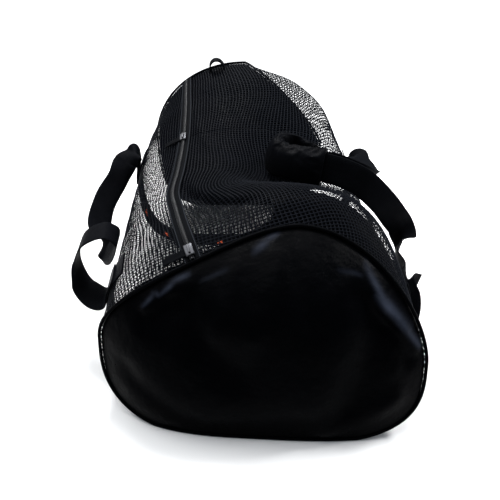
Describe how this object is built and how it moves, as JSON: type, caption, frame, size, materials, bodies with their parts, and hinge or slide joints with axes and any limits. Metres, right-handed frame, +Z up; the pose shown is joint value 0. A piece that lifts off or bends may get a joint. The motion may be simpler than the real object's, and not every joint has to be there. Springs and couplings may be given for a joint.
{
  "type": "mesh dive gear bag",
  "caption": "Slumped mesh duffel for wet dive gear, with solid end panels, a full-length zip, girth straps and webbing carry handles.",
  "frame": {"origin": "middle of the whole bag's footprint, on the floor under it", "axes": "+Y runs along the bag from its slumped near end to its standing far end, +X across it to the right, +Z up"},
  "size_m": [0.6248, 0.7384, 0.3896],
  "materials": {
    "net": "glossy coated net",
    "nylon": "coated plain-weave nylon, soft bluish sheen on the folds",
    "piping": "folded nylon binding",
    "zip_tape": "twill tape",
    "zip_coil": "satin nylon coil",
    "slider_metal": "bright plated, lightly scuffed",
    "webbing": "ribbed webbing",
    "wrap_nylon": "padded nylon"
  },
  "bodies": {
    "root": {"mesh_body": "net", "end_panel_near": "nylon", "end_panel_far": "nylon", "piping_near": "piping", "piping_far": "piping", "zip_tape_left": "zip_tape", "zip_tape_right": "zip_tape", "zip_coil": "zip_coil", "zip_slider_near": "slider_metal", "zip_slider_far": "slider_metal", "zip_pull_near": "webbing", "zip_pull_far": "webbing", "girth_strap_near": "webbing", "girth_strap_far": "webbing", "handle_left": "webbing", "handle_right": "webbing", "handle_wrap": "wrap_nylon", "end_loop": "webbing"}
  },
  "joints": []
}
